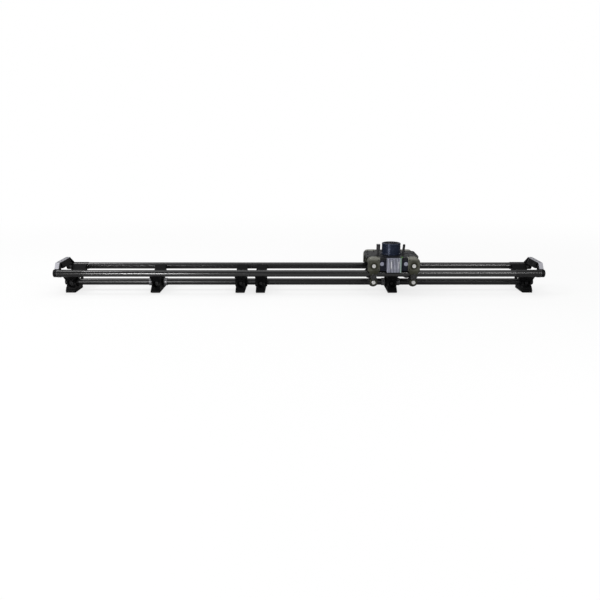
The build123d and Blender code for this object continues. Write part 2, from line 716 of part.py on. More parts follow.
# Brake: a cross shaft with a cam over each rail, turned by the lever; the cams press the shoes.
brake_x = carriage_x + brake_dx
shaft_half = beam_face - 1
cam_half = 8.0
with BuildPart() as brake_shaft:
    with BuildSketch(Plane.XZ):
        with Locations((brake_x, shaft_z)):
            Circle(shaft_radius)
    extrude(amount=shaft_half, both=True)
    for side in (-1, 1):
        with BuildSketch(Plane.XZ.offset(side * rail_y)):
            with Locations((brake_x + cam_throw, shaft_z)):
                Circle(cam_radius)
        extrude(amount=cam_half, both=True)
keep(brake_shaft.part, "brake_shaft")

lever_axis = Vector(sin(radians(lever_lean)), 0, cos(radians(lever_lean)))
lever_foot = Vector(brake_x, 0, shaft_z)
with BuildPart() as brake_lever:
    with BuildSketch(Plane(origin=lever_foot, x_dir=lever_axis, z_dir=(0, 1, 0))) as profile:
        with BuildLine():
            Polyline((0, -10), (lever_reach * 0.62, -4), (lever_reach * 0.62, 4), (0, 10), close=True)
        make_face()
        Circle(11.0)
        Circle(shaft_radius + fit, mode=Mode.SUBTRACT)
    extrude(amount=4.0, both=True)
    with BuildSketch(Plane(origin=lever_foot + lever_axis * lever_reach * 0.56, z_dir=lever_axis)):
        Circle(6.0)
    extrude(amount=lever_reach * 0.44)
    fillet(brake_lever.faces().sort_by(Axis.Z)[-1].edges(), 4.0)
keep(brake_lever.part, "brake_lever")


def rail_shoe(centre_x, top_z):
    """A block over the far rail whose underside is hollowed to the rail."""
    with BuildPart() as shoe:
        with BuildSketch(Plane.YZ.offset(centre_x)) as section:
            with BuildLine():
                Polyline((rail_y - 11, top_z), (rail_y + 11, top_z), (rail_y + 11, rail_z + rail_radius),
                         (rail_y - 11, rail_z + rail_radius), close=True)
            make_face()
            with Locations((rail_y, rail_z + shoe_gap)):
                Circle(groove_radius, mode=Mode.SUBTRACT)
        extrude(amount=shoe_length / 2, both=True)
    return shoe.part


shoe = rail_shoe(brake_x, shaft_z - cam_radius - wheel_gap)
keep(group([shoe, mirror(shoe, about=Plane.XZ)]), "brake_shoes")

# Drag: a screw knob pushes a cross bar down, and felts under its ends drag on the rails.
drag_x = carriage_x - brake_dx
felt_top = 135.0
bar_low = 155.0
with BuildPart() as drag_bar:
    with BuildSketch(Plane.YZ.offset(drag_x)) as section:
        end_y = rail_y + 12.5
        with BuildLine():
            Polyline((end_y, drag_bar_top), (end_y, felt_top), (rail_y - 11, felt_top), (rail_y - 11, bar_low),
                     (11 - rail_y, bar_low), (11 - rail_y, felt_top), (-end_y, felt_top),
                     (-end_y, drag_bar_top), close=True)
        make_face()
        inner = section.vertices().filter_by(lambda v: abs(v.Y - bar_low) < 0.1)
        fillet(inner, 6.0)
    extrude(amount=shoe_length / 2, both=True)
    for side in (-1, 1):
        with BuildSketch(Plane.XZ.offset(side * (rail_y + 4))):
            with Locations((drag_x, shaft_z + shoe_gap / 2)):
                SlotOverall(2 * pin_radius + 0.6 + shoe_gap, 2 * pin_radius + 0.6, rotation=90)
        extrude(amount=side * rail_y, mode=Mode.SUBTRACT)
keep(drag_bar.part, "drag_bar")
felt = rail_shoe(drag_x, felt_top)
keep(group([felt, mirror(felt, about=Plane.XZ)]), "drag_felts")

knob_grip = 10.0
with BuildPart() as drag_knob:
    with BuildSketch(Plane.XY.offset(drag_bar_top + wheel_gap)):
        with Locations((drag_knob_x, 0)):
            Circle(shaft_radius)
    extrude(amount=drag_knob_low - drag_bar_top)
    with BuildSketch(Plane.XY.offset(drag_knob_low)):
        with Locations((drag_knob_x, 0)):
            Circle(knob_grip)
            with PolarLocations(knob_grip + 1, 8):
                Circle(2.5, mode=Mode.SUBTRACT)
    extrude(amount=drag_knob_high - drag_knob_low)
    chamfer(drag_knob.faces().sort_by(Axis.Z)[-1].edges(), 0.8)
keep(drag_knob.part, "drag_knob")
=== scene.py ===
import json
from math import cos, pi, radians, sin, tau

import bpy
from mathutils import Matrix, Vector


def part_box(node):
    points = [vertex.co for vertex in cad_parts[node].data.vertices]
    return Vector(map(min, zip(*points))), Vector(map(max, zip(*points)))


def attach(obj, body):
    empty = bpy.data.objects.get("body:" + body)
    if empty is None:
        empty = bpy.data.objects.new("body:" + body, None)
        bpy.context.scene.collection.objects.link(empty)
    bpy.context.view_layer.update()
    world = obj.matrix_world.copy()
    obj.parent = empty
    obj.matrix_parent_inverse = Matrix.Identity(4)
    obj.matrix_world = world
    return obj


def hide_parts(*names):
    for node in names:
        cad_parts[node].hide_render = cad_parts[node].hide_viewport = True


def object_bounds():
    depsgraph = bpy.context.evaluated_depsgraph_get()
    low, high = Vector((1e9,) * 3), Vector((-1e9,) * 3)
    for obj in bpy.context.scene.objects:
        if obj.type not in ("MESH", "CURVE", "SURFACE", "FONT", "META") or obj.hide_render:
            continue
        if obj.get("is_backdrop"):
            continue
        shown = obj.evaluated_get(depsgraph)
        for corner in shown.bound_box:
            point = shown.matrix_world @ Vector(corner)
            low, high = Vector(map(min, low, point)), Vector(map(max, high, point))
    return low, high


# Camera slider: finishes for the CAD nodes, the small fittings they leave out, and a studio. In metres.
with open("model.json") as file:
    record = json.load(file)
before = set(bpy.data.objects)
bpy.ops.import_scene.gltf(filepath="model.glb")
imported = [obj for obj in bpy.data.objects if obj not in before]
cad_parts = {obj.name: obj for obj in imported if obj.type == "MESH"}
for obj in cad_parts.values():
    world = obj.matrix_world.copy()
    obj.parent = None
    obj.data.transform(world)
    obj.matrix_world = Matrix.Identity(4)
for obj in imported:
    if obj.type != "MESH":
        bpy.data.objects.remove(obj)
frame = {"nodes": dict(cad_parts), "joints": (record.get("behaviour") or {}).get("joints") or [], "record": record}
cadLow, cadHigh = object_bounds()
nodes = frame["nodes"]
print("stage: frame loaded,", len(nodes), "nodes")


def middle(node):
    low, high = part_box(node)
    return (low + high) / 2


def jointPlace(name):
    return Vector(next(joint["pos_m"] for joint in frame["joints"] if joint["name"] == name))


mm = 0.001
corners = ("near_left", "near_right", "far_left", "far_right")
sides = (-1, 1)
carriageX = middle("bowl_riser").x
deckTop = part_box("carriage_deck")[1].z
railZ = middle("near_rail_right").z
railY = middle("far_rail_right").y
lowerZ = middle("lower_tube_left").z
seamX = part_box("near_rail_left")[1].x
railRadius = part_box("near_rail_left")[1].z - railZ
upperZ = jointPlace("spin_upper_near_right").z
halfBase = jointPlace("spin_upper_near_right").x - carriageX
wearRange = (0.02, 0.2)  # wear begins and is full at these: 1 less the cosine of the rounding's lean


# Shader graphs are written as expressions: a Value adds a node for each sum it takes part in.
class Value:
    def __init__(self, graph, socket):
        self.graph = graph
        self.socket = socket

    def maths(self, operation, *terms):
        return self.graph.node("Math", {"operation": operation}, dict(enumerate(terms)))

    def __add__(self, other):
        return self.maths("ADD", self, other)

    def __radd__(self, other):
        return self.maths("ADD", other, self)

    def __sub__(self, other):
        return self.maths("SUBTRACT", self, other)

    def __rsub__(self, other):
        return self.maths("SUBTRACT", other, self)

    def __mul__(self, other):
        return self.maths("MULTIPLY", self, other)

    def __rmul__(self, other):
        return self.maths("MULTIPLY", other, self)

    def __truediv__(self, other):
        return self.maths("DIVIDE", self, other)

    def __pow__(self, other):
        return self.maths("POWER", self, other)

    def __abs__(self):
        return self.maths("ABSOLUTE", self)

    def most(self, other):
        return self.maths("MAXIMUM", self, other)


class Graph:
    def __init__(self, tree):
        self.tree = tree
        tree.nodes.clear()

    def node(self, kind, settings=None, sockets=None, output=0):
        made = self.tree.nodes.new("ShaderNode" + kind)
        for key, setting in (settings or {}).items():
            setattr(made, key, setting)
        for key, given in (sockets or {}).items():
            if isinstance(given, Value):
                self.tree.links.new(given.socket, made.inputs[key])
            else:
                made.inputs[key].default_value = given
        if isinstance(output, tuple):
            return [Value(self, made.outputs[key]) for key in output]
        return Value(self, made.outputs[output]) if made.outputs else None

    def place(self, centre=(0, 0, 0), stretch=(1, 1, 1)):
        here = self.node("TexCoord", output="Object")
        moved = self.node("VectorMath", {"operation": "SUBTRACT"}, {0: here, 1: centre})
        return self.node("VectorMath", {"operation": "MULTIPLY"}, {0: moved, 1: stretch})

    def noise(self, perMetre, stretch=(1, 1, 1), detail=3.0):
        return self.node("TexNoise", {}, {"Vector": self.place(stretch=stretch), "Scale": perMetre,
                                          "Detail": detail})

    def axes(self, centre=(0, 0, 0)):
        return self.node("SeparateXYZ", {}, {0: self.place(centre)}, output=("X", "Y", "Z"))

    def ramp(self, value, low, high):  # 0 below low, 1 above high, smooth between
        return self.node("MapRange", {"interpolation_type": "SMOOTHSTEP"},
                         {"Value": value, "From Min": low, "From Max": high})

    def mix(self, share, first, second):
        return self.node("Mix", {"data_type": "RGBA"}, {0: share, 6: first, 7: second}, output=2)

    def edges(self, radius):  # rounded normal, and a mask that is 1 along worn edges
        rounded = self.node("Bevel", {"samples": 4}, {"Radius": radius})
        plain = self.node("NewGeometry", output="Normal")
        likeness = self.node("VectorMath", {"operation": "DOT_PRODUCT"}, {0: rounded, 1: plain},
                             output="Value")
        return rounded, self.ramp(1 - likeness, *wearRange)


def shade(value):  # a grey, or a red-green-blue colour, with its alpha
    return (value, value, value, 1.0) if isinstance(value, float) else (*value, 1.0)


def sway(pattern, amount):  # a noise's mean is 0.5, so this goes as far down as up
    return (pattern - 0.5) * amount


def finish(name, look, build):
    material = bpy.data.materials.new(name)
    material.use_nodes = True
    graph = Graph(material.node_tree)
    rounded, worn = graph.edges(look["edge"])
    parts = build(graph, look, worn)
    height = graph.node("Bump", {}, {"Strength": 1.0, "Distance": look["relief"],
                                     "Height": parts["height"], "Normal": rounded})
    sockets = {"Base Color": parts["colour"], "Roughness": parts["roughness"],
               "Metallic": parts.get("metallic", look.get("metallic", 0.0)), "Normal": height}
    if "coat" in parts:
        sockets["Coat Weight"] = parts["coat"]
    sockets.update(look.get("fixed", {}))
    surface = graph.node("BsdfPrincipled", {}, sockets)
    graph.node("OutputMaterial", {}, {"Surface": surface})
    material.diffuse_color = shade(look["colour"])
    return material


# In the looks, "edge" is the width of the rounding, "wear" how far it wears through, "relief" the depth of
# the texture, "grainy" and "uneven" how far fine and broad patterns sway the roughness, and "fixed" goes
# straight to the shader's sockets. Grain, clouds, lines and the like are patterns per metre. A pair is the
# two ends of a ramp.

# Hard-anodised tube: fine lines along its length, and a polished track where the wheels run.
rail = {"colour": (0.007, 0.007, 0.0078), "rubbedAndHighlit": (0.018, 0.018, 0.019), "roughness": 0.22, "track": 0.17,
        "reach": 2.4 * mm, "trackShown": 0.6, "relief": 0.001 * mm, "edge": 0.3 * mm, "lines": 2600.0,
        "grainy": 0.05, "smudges": 9.0, "smudged": (0.25, 0.6), "uneven": 0.14,
        "fixed": {"Specular IOR Level": 1.0}}
farRail = {**rail, "roughness": 0.27, "track": 0.22}
lowerTube = {**rail, "roughness": 0.34, "track": 0.34, "rubbedAndHighlit": (0.009, 0.009, 0.01),
             "fixed": {"Specular IOR Level": 0.6}}  # no wheel runs on it


def buildRail(graph, look, worn):
    lines = graph.noise(look["lines"], stretch=(0.006, 1, 1), detail=2.0)
    smudge = graph.noise(look["smudges"], stretch=(0.3, 1, 1), detail=4.0)
    x, y, z = graph.axes((0, 0, railZ))
    crest = graph.ramp(abs(z), railRadius - look["reach"], railRadius)
    track = crest * graph.ramp(smudge, *look["smudged"])
    rough = look["roughness"] + sway(smudge, look["uneven"]) + sway(lines, look["grainy"])
    # Here this is wear only: rubbed edges and the polished track where the wheels run.
    rubbedAndHighlit = worn.most(track * look["trackShown"])
    return {"colour": graph.mix(rubbedAndHighlit, shade(look["colour"]), shade(look["rubbedAndHighlit"])),
            "roughness": rough - track * (look["roughness"] - look["track"]),
            "height": lines}


# Cast alloy under fine satin enamel, worn paler along its edges.
# What lies within "sleeve" of a rail's axis is turned smooth, and polished.
casting = {"colour": (0.0035, 0.0035, 0.004), "bare": (0.07, 0.07, 0.072), "turned": (0.006, 0.006, 0.0065),
           "roughness": 0.5, "relief": 0.07 * mm, "edge": 0.8 * mm, "wear": 0.8,
           "sleeve": 21 * mm, "sleeveBlend": 0.5 * mm, "polish": 0.9, "smoothed": 0.9,
           "grain": 1500.0, "grainy": 0.12, "clouds": 26.0, "uneven": 0.22, "chips": 170.0,
           "chipped": (0.42, 0.66),
           "fixed": {"Specular IOR Level": 0.14, "Coat Roughness": 0.22}}


def buildCasting(graph, look, worn):
    grain = graph.noise(look["grain"], detail=2.0)
    cloud = graph.noise(look["clouds"], detail=4.0)
    chips = worn * graph.ramp(graph.noise(look["chips"]), *look["chipped"])
    x, y, z = graph.axes((0, 0, railZ))
    fromRail = ((abs(y) - railY) ** 2 + z * z) ** 0.5
    onSleeve = 1 - graph.ramp(fromRail, look["sleeve"] - look["sleeveBlend"], look["sleeve"])
    enamel = graph.mix(onSleeve, shade(look["colour"]), shade(look["turned"]))
    return {"colour": graph.mix(chips * look["wear"], enamel, shade(look["bare"])),
            "roughness": look["roughness"] + sway(cloud, look["uneven"]) + sway(grain, look["grainy"]),
            "coat": onSleeve * look["polish"],
            "height": grain * (1 - onSleeve * look["smoothed"])}


# Moulded plastic, rubber, felt and the level's vial: an even texture with a little dust on it.
plastic = {"colour": (0.024, 0.024, 0.025), "dusty": (0.05, 0.05, 0.051), "roughness": 0.42,
           "relief": 0.09 * mm, "edge": 0.6 * mm, "wear": 0.5, "grain": 1900.0, "grainy": 0.16,
           "dust": 55.0, "settled": (0.5, 0.8), "dustRough": 0.08, "fixed": {"Specular IOR Level": 0.4}}
handlePlastic = {**plastic, "colour": (0.005, 0.005, 0.0056), "roughness": 0.34, "relief": 0.04 * mm,
                 "fixed": {"Specular IOR Level": 0.1}}
starKnob = {**plastic, "colour": (0.03, 0.03, 0.031), "dusty": (0.08, 0.08, 0.08), "edge": 0.8 * mm}
rubber = {**plastic, "colour": (0.014, 0.014, 0.014), "roughness": 0.72, "relief": 0.16 * mm,
          "grain": 1100.0, "fixed": {"Specular IOR Level": 0.3}}
felt = {**plastic, "colour": (0.2, 0.2, 0.195), "dusty": (0.33, 0.33, 0.32), "roughness": 0.95,
        "relief": 0.3 * mm, "edge": 0.3 * mm, "grain": 1500.0, "fixed": {}}
vialGreen = {**plastic, "colour": (0.13, 0.46, 0.03), "dusty": (0.3, 0.68, 0.08), "roughness": 0.1,
             "relief": 0.01 * mm, "edge": 0.3 * mm, "grain": 300.0,
             "fixed": {"Coat Weight": 1.0, "Coat Roughness": 0.03}}


def buildPlastic(graph, look, worn):
    grain = graph.noise(look["grain"])
    dust = graph.ramp(graph.noise(look["dust"], detail=5.0), *look["settled"])
    dusty = dust.most(worn) * look["wear"]
    return {"colour": graph.mix(dusty, shade(look["colour"]), shade(look["dusty"])),
            "roughness": look["roughness"] + sway(grain, look["grainy"]) + dust * look["dustRough"],
            "height": grain}


# Bare or anodised alloy: brushed one way, or blasted where the stretch of its grain is even.
brushed = {"colour": (0.52, 0.52, 0.56), "dull": (0.41, 0.41, 0.45), "roughness": 0.36, "metallic": 0.25,
           "relief": 0.025 * mm, "edge": 0.35 * mm, "wear": 0.6, "grain": 2200.0, "stretch": (1, 0.02, 1),
           "grainy": 0.18, "clouds": 34.0, "uneven": 0.16, "patchy": (0.3, 0.7)}
machined = {**brushed, "colour": (0.8, 0.8, 0.78), "dull": (0.66, 0.66, 0.64), "roughness": 0.26,
            "stretch": (1, 1, 1), "grain": 900.0, "relief": 0.012 * mm}
blasted = {**brushed, "stretch": (1, 1, 1), "grain": 1700.0, "relief": 0.05 * mm,
           "fixed": {"Specular IOR Level": 0.22}}
collarMetal = {**brushed, "colour": (0.2, 0.2, 0.21), "dull": (0.12, 0.12, 0.125), "stretch": (0.02, 1, 1)}
capMetal = {**blasted, "colour": (0.42, 0.43, 0.53), "dull": (0.29, 0.3, 0.38), "bare": (0.6, 0.6, 0.55),
            "metallic": 0.3, "edge": 1.3 * mm}
beamMetal = {**blasted, "colour": (0.014, 0.016, 0.03), "dull": (0.005, 0.006, 0.013), "metallic": 0.3,
             "bare": (0.1, 0.1, 0.13), "edge": 0.6 * mm, "fixed": {"Specular IOR Level": 0.28}}
deckMetal = {**blasted, "colour": (0.014, 0.0145, 0.017), "dull": (0.008, 0.008, 0.01), "roughness": 0.45,
             "metallic": 0.2, "stretch": (0.03, 1, 1), "edge": 0.8 * mm, "bare": (0.2, 0.2, 0.21),
             "fixed": {"Specular IOR Level": 0.3}}
blackScrew = {**machined, "colour": (0.02, 0.02, 0.021), "dull": (0.01, 0.01, 0.011), "metallic": 0.5,
              "roughness": 0.4, "fixed": {"Specular IOR Level": 0.3}}


def paler(colour, times=1.6, plus=0.02):
    return tuple(min(1.0, times * part + plus) for part in colour)


def buildMetal(graph, look, worn):
    grain = graph.noise(look["grain"], stretch=look["stretch"])
    cloud = graph.noise(look["clouds"], detail=4.0)
    patchy = graph.ramp((grain + cloud) / 2, *look["patchy"])
    base = graph.mix(patchy, shade(look["dull"]), shade(look["colour"]))
    bare = look.get("bare", paler(look["colour"]))
    return {"colour": graph.mix(worn * look["wear"], base, shade(bare)),
            "roughness": look["roughness"] + sway(grain, look["grainy"]) + sway(cloud, look["uneven"]),
            "height": grain}


# Truck: cheeks with painted shade round the upper bolts and painted shade darkening them towards the bottom, under
# a roof plate with a painted highlight in streaks along it. The shade round the bolts is measured from the bolt,
# and the lower shade down from it.
truckMetal = {**blasted, "colour": (0.18, 0.182, 0.145), "dull": (0.045, 0.046, 0.036), "metallic": 0.5,
              "bare": (0.6, 0.6, 0.55), "edge": 1.3 * mm,
              # Painted highlight: a paler colour on the top plate, in streaks along it.
              "roof": (0.25, 0.25, 0.215), "roofThick": 10 * mm, "roofBlend": 0.3 * mm, "roofShown": 0.5,
              "highlightStreaks": 400.0, "highlightStreaksShown": 0.8,
              # Painted shade: a darker colour round the upper bolts and towards the bottom of the cheeks.
              "paintedShade": (0.02, 0.02, 0.007), "boltShade": 0.9, "boltShadeFrom": 11 * mm, "boltShadeTo": 27 * mm,
              "lowShade": 0.6, "lowShadeFrom": 16 * mm, "lowShadeTo": 30 * mm}


def buildTruck(graph, look, worn):
    parts = buildMetal(graph, look, worn)
    x, y, z = graph.axes((carriageX, 0, upperZ))
    roofFrom = deckTop - look["roofThick"] - upperZ
    # Painted highlight on the top plate, streaked along its length.
    highlightStreaks = graph.noise(look["highlightStreaks"], stretch=(0.05, 1, 1), detail=2.0)
    above = graph.ramp(z, roofFrom - look["roofBlend"], roofFrom + look["roofBlend"])
    roof = above * (look["roofShown"] + highlightStreaks * look["highlightStreaksShown"])
    aside = abs(x) - halfBase
    fromBolt = (aside * aside + z * z) ** 0.5
    # Painted shade round each upper bolt, and painted shade darker towards the bottom of the cheeks.
    boltShade = (1 - graph.ramp(fromBolt, look["boltShadeFrom"], look["boltShadeTo"])) * look["boltShade"]
    lowShade = (1 - graph.ramp(z, -look["lowShadeTo"], -look["lowShadeFrom"])) * look["lowShade"]
    shadedCheek = graph.mix(boltShade.most(lowShade), parts["colour"], shade(look["paintedShade"]))
    return {**parts, "colour": graph.mix(roof, shadedCheek, shade(look["roof"]))}


# Push grip: rounded fins with painted shade in their gaps, a painted highlight on two of them, and a green-tinted
# end where the level sits. Depths are from its face, and heights and the places of the highlit fins are shares of
# its size.
gripMetal = {**blasted, "colour": (0.5, 0.515, 0.61), "dull": (0.34, 0.35, 0.43), "roughness": 0.34,
             "metallic": 0.35, "bare": (0.6, 0.6, 0.55), "edge": 0.5 * mm,
             "shadow": (0.03, 0.032, 0.045), "shadowed": 0.85,
             "gapFrom": (0.4 * mm, 2.0 * mm), "gapTo": (3.5 * mm, 4.5 * mm),
             "tint": (0.36, 0.5, 0.43), "tintedEnd": 9.0 * mm, "tintBlend": 1 * mm,
             "fins": 7.5 * mm, "round": 45.0, "face": (0.2 * mm, 0.5 * mm),
             # Painted highlight: its colour, which fins carry it, how wide and how high it runs.
             "highlightColour": (0.98, 0.98, 1.0), "highlitFins": {0.28: 0.85, 0.8: 0.5},  # place, and how bright
             "highlightHalf": (2.6 * mm, 5.0 * mm), "highlightFrom": (0.22, 0.36), "highlightTo": (0.72, 0.86)}


def buildGrip(graph, look, worn):
    parts = buildMetal(graph, look, worn)
    low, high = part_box("push_grip")
    width = high.x - low.x
    x, y, z = graph.axes((high.x, low.y, 0))
    sunk = graph.ramp(y, *look["gapFrom"]) * (1 - graph.ramp(y, *look["gapTo"]))
    tinted = graph.ramp(x, -look["tintedEnd"], -look["tintedEnd"] + look["tintBlend"])
    colour = graph.mix(tinted, parts["colour"], shade(look["tint"]))
    halfFin = look["fins"] / 2
    across = graph.node("Math", {"operation": "PINGPONG"}, {0: x + width / 2, 1: halfFin})
    crown = (across / halfFin) ** 2
    front = 1 - graph.ramp(y, *look["face"])
    height = (z - low.z) / (high.z - low.z)
    # Painted highlight: a near-white band up the middle of two fins' faces.
    rubbedAndHighlit = graph.ramp(height, *look["highlightFrom"]) * (1 - graph.ramp(height, *look["highlightTo"])) * front
    for share, amount in look["highlitFins"].items():
        aside = abs(x + width * (1 - share))
        highlight = (1 - graph.ramp(aside, *look["highlightHalf"])) * rubbedAndHighlit * amount
        colour = graph.mix(highlight, colour, shade(look["highlightColour"]))
    return {**parts, "colour": graph.mix(sunk * look["shadowed"], colour, shade(look["shadow"])),
            "height": parts["height"] + (1 - crown) * front * look["round"]}


# Turned riser: dark blue-black outside with fine lathe lines, bare metal in the bowl.
riser = {"colour": (0.016, 0.024, 0.05), "bare": (0.2, 0.205, 0.22), "roughness": 0.3, "relief": 0.03 * mm,
         "edge": 0.5 * mm, "wear": 0.4, "metallic": 0.45, "bowl": 37.8 * mm, "bowlBlend": 0.2 * mm,
         "bowlMetallic": 0.5, "lines": 2600.0, "clouds": 30.0, "uneven": 0.2, "grain": 1500.0,
         "grainDeep": 0.4}


def buildRiser(graph, look, worn):
    x, y, z = graph.axes((carriageX, 0, 0))
    radius = (x * x + y * y) ** 0.5
    inside = 1 - graph.ramp(radius, look["bowl"], look["bowl"] + look["bowlBlend"])
    lines = graph.node("Math", {"operation": "SINE"}, {0: (z + radius) * look["lines"]})
    cloud = graph.noise(look["clouds"], detail=4.0)
    bare = inside.most(worn * look["wear"])
    return {"colour": graph.mix(bare, shade(look["colour"]), shade(look["bare"])),
            "roughness": look["roughness"] + sway(cloud, look["uneven"]),
            "metallic": look["metallic"] + inside * look["bowlMetallic"],
            "height": lines + graph.noise(look["grain"]) * look["grainDeep"]}


# Hard urethane wheel: a scuffed grey band in the groove, and clean satin sides.
tyre = {"colour": (0.016, 0.016, 0.0175), "scuffed": (0.06, 0.06, 0.058), "roughness": 0.36,
        "relief": 0.06 * mm, "edge": 0.5 * mm, "groove": 2.9 * mm, "band": (4.0 * mm, 9.0 * mm),
        "bandDeep": 1.5 * mm, "bandRough": 0.22, "scuffs": 240.0, "scuffing": (0.3, 0.65),
        "clouds": 60.0, "uneven": 0.14, "grain": 1300.0,
        "fixed": {"Specular IOR Level": 0.45}}


def buildTyre(graph, look, worn):
    x, y, z = graph.axes(look["centre"])
    radius = (x * x + z * z) ** 0.5
    worked = graph.ramp(radius, look["tread"] - look["bandDeep"], look["tread"])
    band = (1 - graph.ramp(abs(y), *look["band"])) * worked
    scuff = band * graph.ramp(graph.noise(look["scuffs"], stretch=(1, 0.2, 1)), *look["scuffing"])
    rough = look["roughness"] + band * look["bandRough"]
    return {"colour": graph.mix(scuff, shade(look["colour"]), shade(look["scuffed"])),
            "roughness": rough + sway(graph.noise(look["clouds"]), look["uneven"]),
            "height": graph.noise(look["grain"])}


finishes = {
    "rail_anodised": finish("railAnodised", rail, buildRail),
    "casting_black": finish("castingEnamel", casting, buildCasting),
    "handle_black": finish("handleMoulding", handlePlastic, buildPlastic),
    "plastic_dark": finish("knobMoulding", plastic, buildPlastic),
    "rubber_black": finish("rubberPad", rubber, buildPlastic),
    "brushed_light": finish("brushedAlloy", brushed, buildMetal),
    "fastener": finish("screwSteel", machined, buildMetal),
    "screw_black": finish("blackScrew", blackScrew, buildMetal),
    "bearing_steel": finish("bearingSteel", machined, buildMetal),
    "truck_grey": finish("truckAlloy", truckMetal, buildTruck),
    "grip_light": finish("gripAlloy", gripMetal, buildGrip),
    "deck_black": finish("deckPlate", deckMetal, buildMetal),
    "riser_blue": finish("riserTurned", riser, buildRiser),
    "wheel_urethane": finish("shoeUrethane", rubber, buildPlastic),
    "felt_grey": finish("pressedFelt", felt, buildPlastic),
    "level_green": finish("levelVial", vialGreen, buildPlastic),
}
special = {}  # nodes that share a slot with others but are finished differently
for material, owners in (
        (finish("farRail", farRail, buildRail), ("far_rail_left", "far_rail_right")),
        (finish("lowerTube", lowerTube, buildRail), ("lower_tube_left", "lower_tube_right")),
        (finish("starKnob", starKnob, buildPlastic), ["star_knob_" + corner for corner in corners]),
        (finish("collarAlloy", collarMetal, buildMetal), ("tube_collars", "rail_rings")),
        (finish("capAlloy", capMetal, buildMetal), ("shaft_caps",)),
        (finish("beamPlate", beamMetal, buildMetal), ("side_beam_near", "side_beam_far"))):
    special.update((owner, material) for owner in owners)
slotOf = {entry["node"]: entry["material_slot"] for entry in frame["record"]["subparts"]}


def paint(piece, material):
    piece.data.materials.clear()
    piece.data.materials.append(material)


for name, node in nodes.items():
    if name.startswith(("wheel_upper", "wheel_lower")):
        low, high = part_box(name)
        own = {**tyre, "centre": tuple(middle(name)), "tread": (high.x - low.x) / 2 - tyre["groove"]}
        paint(node, finish("tyre_" + name, own, buildTyre))
    else:
        paint(node, special.get(name, finishes[slotOf[name]]))
print("stage: finishes painted")


# The small fittings are modelled by hand, with these helpers.
up = (0, 0, 1)


def choose(*pieces):  # selects these alone, with the first as the active one
    bpy.ops.object.select_all(action="DESELECT")
    for piece in reversed(pieces):
        piece.select_set(True)
        bpy.context.view_layer.objects.active = piece


def edit(piece, mode):  # edit mode with all of the piece selected
    bpy.context.view_layer.objects.active = piece
    bpy.ops.object.mode_set(mode="EDIT")
    bpy.ops.mesh.select_mode(type=mode)
    bpy.ops.mesh.select_all(action="SELECT")


def applyModifier(piece, kind, **settings):
    modifier = piece.modifiers.new(kind.lower(), kind)
    for key, setting in settings.items():
        setattr(modifier, key, setting)
    bpy.context.view_layer.objects.active = piece
    bpy.ops.object.modifier_apply(modifier=modifier.name)


def smooth(piece):
    choose(piece)
    bpy.ops.object.shade_smooth_by_angle(angle=radians(35))


def settle(piece, point, direction=up):  # puts its origin at the point and its +Z along the direction
    turn = Vector(up).rotation_difference(Vector(direction)).to_matrix().to_4x4()
    piece.matrix_world = Matrix.Translation(point) @ turn @ piece.matrix_world
    choose(piece)
    bpy.ops.object.transform_apply(location=True, rotation=True, scale=True)


def turned(name, outline, steps=48):
    # The outline's (radius, height) points are pulled out one after another, then spun about +Z.
    choose()
    bpy.ops.mesh.primitive_plane_add(size=1 * mm)
    piece = bpy.context.active_object
    piece.name = name
    edit(piece, "VERT")
    bpy.ops.mesh.merge(type="CENTER")
    bpy.ops.transform.translate(value=(outline[0][0], 0, outline[0][1]))
    for (fromRadius, fromHeight), (toRadius, toHeight) in zip(outline, outline[1:]):
        step = (toRadius - fromRadius, 0, toHeight - fromHeight)
        bpy.ops.mesh.extrude_region_move(TRANSFORM_OT_translate={"value": step})
    bpy.ops.mesh.select_all(action="SELECT")
    bpy.ops.mesh.spin(steps=steps, angle=tau, center=(0, 0, 0), axis=(0, 0, 1))
    bpy.ops.mesh.select_all(action="SELECT")
    bpy.ops.mesh.remove_doubles(threshold=0.002 * mm)
    bpy.ops.mesh.normals_make_consistent(inside=False)
    bpy.ops.object.mode_set(mode="OBJECT")
    smooth(piece)
    return piece


def copies(master, name, places):
    # One of the master at each (point, direction), joined as one piece.
    made = []
    for point, direction in places:
        one = master.copy()
        one.data = master.data.copy()
        bpy.context.scene.collection.objects.link(one)
        settle(one, point, direction)
        made.append(one)
    choose(*made)
    if len(made) > 1:
        bpy.ops.object.join()
    made[0].name = name
    return made[0]


def dress(piece, body, slot, *standsFor):
    paint(piece, finishes[slot])
    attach(piece, body)
    if standsFor:
        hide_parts(*standsFor)


def discard(piece):
    bpy.data.objects.remove(piece, do_unlink=True)


def screwHead(size):
    # A round head with a bevelled rim and a hexagon socket. Its seat is at the origin.
    rim = size["bevel"]
    outline = [(0, 0), (size["radius"], 0), (size["radius"], size["height"] - rim),
               (size["radius"] - rim, size["height"]), (0, size["height"])]
    head = turned("screwHead", outline, steps=32)
    choose()
    bpy.ops.mesh.primitive_cylinder_add(vertices=6, radius=size["socket"], depth=size["height"],
                                        location=(0, 0, size["height"]))
    cutter = bpy.context.active_object
    applyModifier(head, "BOOLEAN", object=cutter, operation="DIFFERENCE", solver="EXACT")
    discard(cutter)
    smooth(head)
    return head


def outward(y):  # away from the middle of the slider
    return 1 if y > 0 else -1


def onCarriage(points, direction=None):
    # Each point, measured from the carriage's middle, stands in all four corners.
    places = []
    for x, y, z in points:
        for xSide in sides:
            for ySide in sides:
                point = (carriageX + xSide * x, ySide * y, z)
                places.append((point, direction or (0, outward(ySide * y), 0)))
    return places


